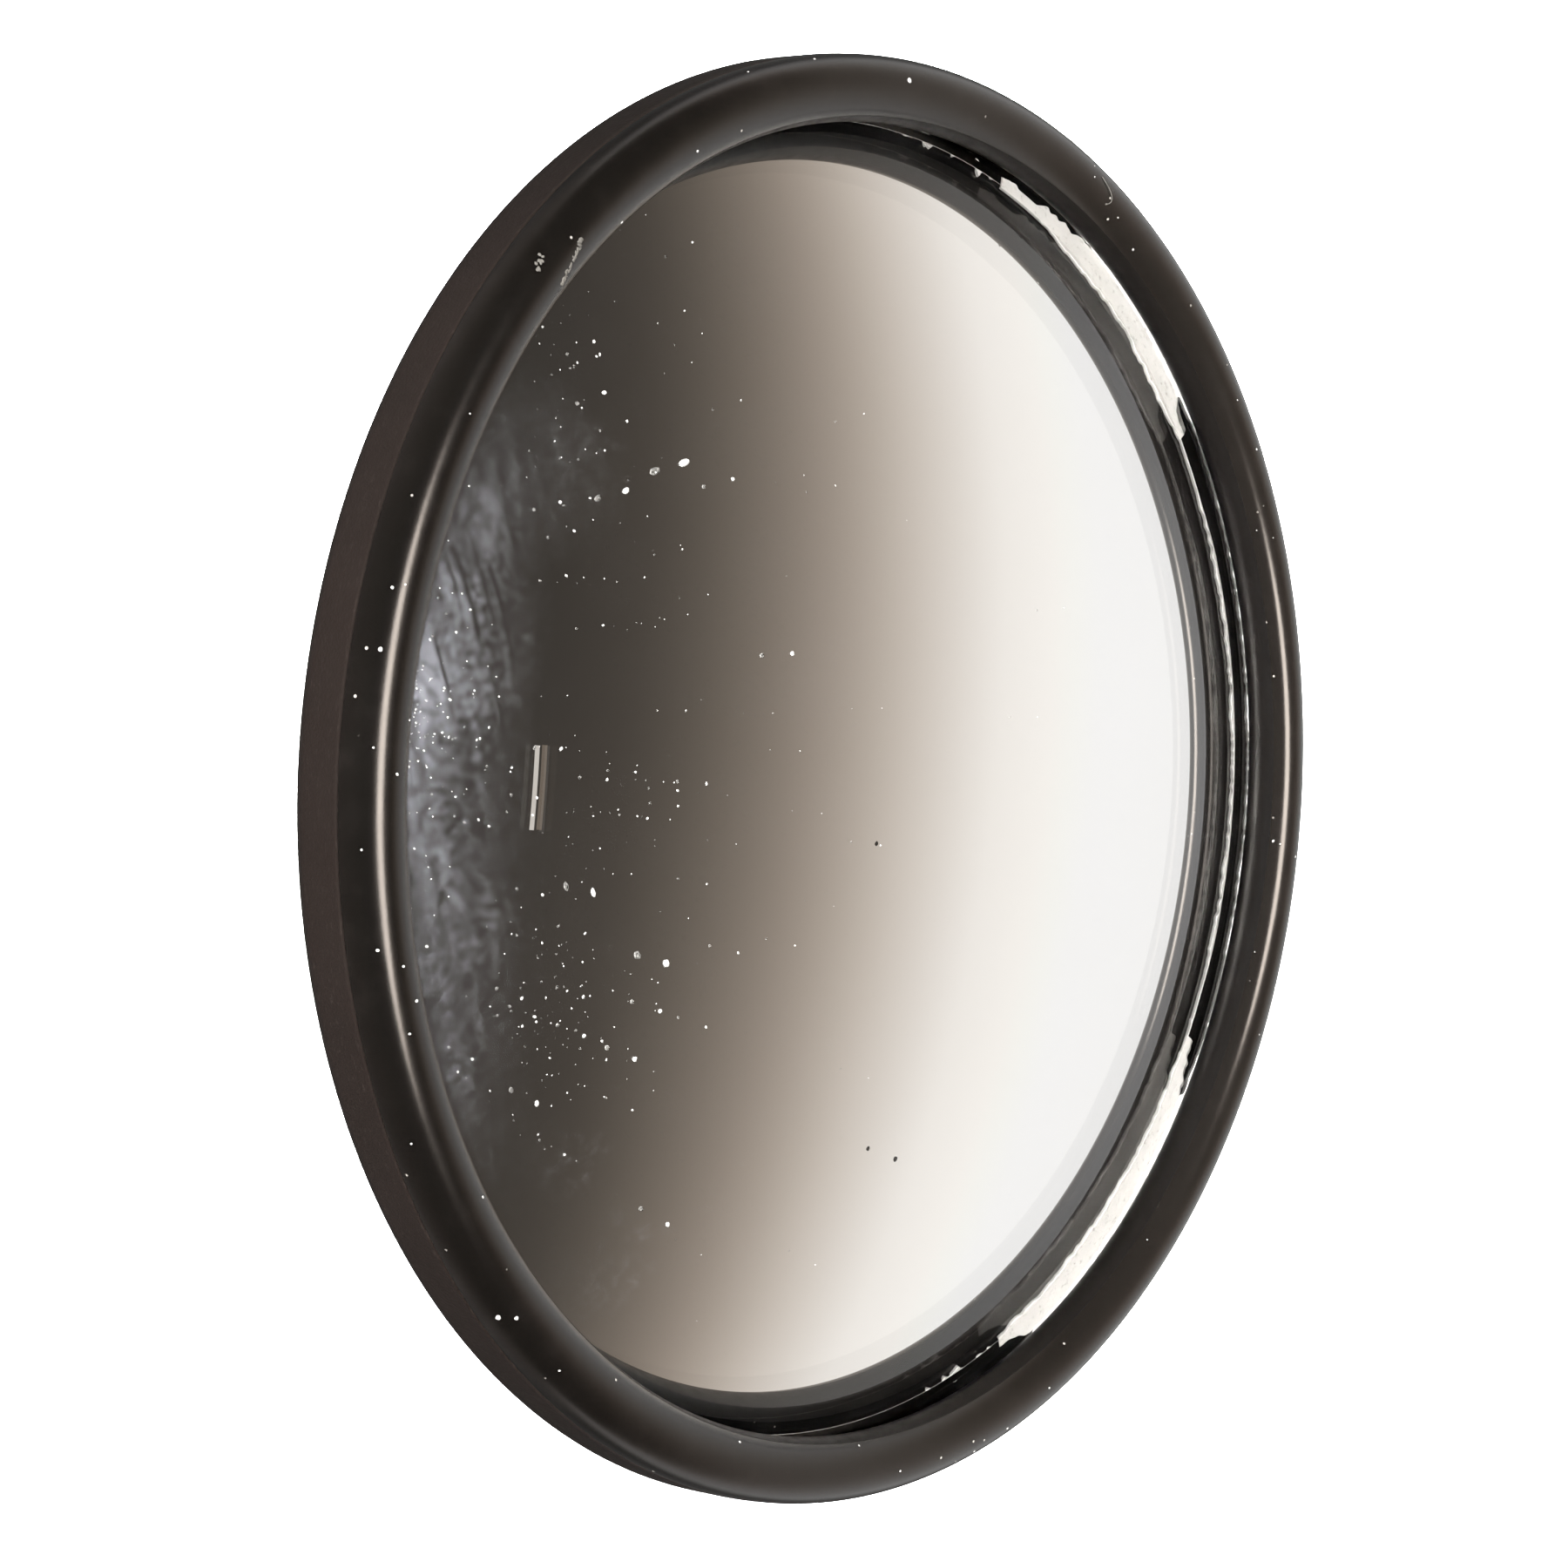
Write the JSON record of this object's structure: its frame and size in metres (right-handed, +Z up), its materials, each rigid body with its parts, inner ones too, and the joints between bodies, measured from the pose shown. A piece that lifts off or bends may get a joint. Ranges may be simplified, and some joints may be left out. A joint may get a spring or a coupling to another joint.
{
  "type": "convex security mirror",
  "caption": "Small round convex glass mirror in a black plastic pan with a rounded bead rim, held to a wall, shelf or fixture by an adhesive foam pad on its back.",
  "frame": {"origin": "centre of the adhesive face on the back, on the mirror's axis", "axes": "-Y is the way the mirror faces, +Y into the wall that it hangs on, +Z up"},
  "size_m": [0.0764, 0.0115, 0.0764],
  "materials": {
    "bead": "gloss black, lightly scuffed",
    "housing": "fine satin texture",
    "glass": "polished",
    "silver": "mirror",
    "paint": "dried paint",
    "sealant": "dried adhesive",
    "bedding": "foam",
    "silicone": "cured silicone",
    "foam": "closed-cell foam",
    "film": "tacky adhesive layer"
  },
  "bodies": {
    "root": {"rear_housing": "housing", "rim_bezel": "bead", "mirror_glass": "glass", "silver_coating": "silver", "backing_paint": "paint", "edge_sealant": "sealant", "glass_bedding_ring": "bedding", "centre_adhesive_pad": "bedding", "adhesive_dab_1": "silicone", "adhesive_dab_2": "silicone", "adhesive_dab_3": "silicone", "mount_foam_pad": "foam", "housing_adhesive_film": "film", "mount_adhesive_film": "film"}
  },
  "joints": []
}
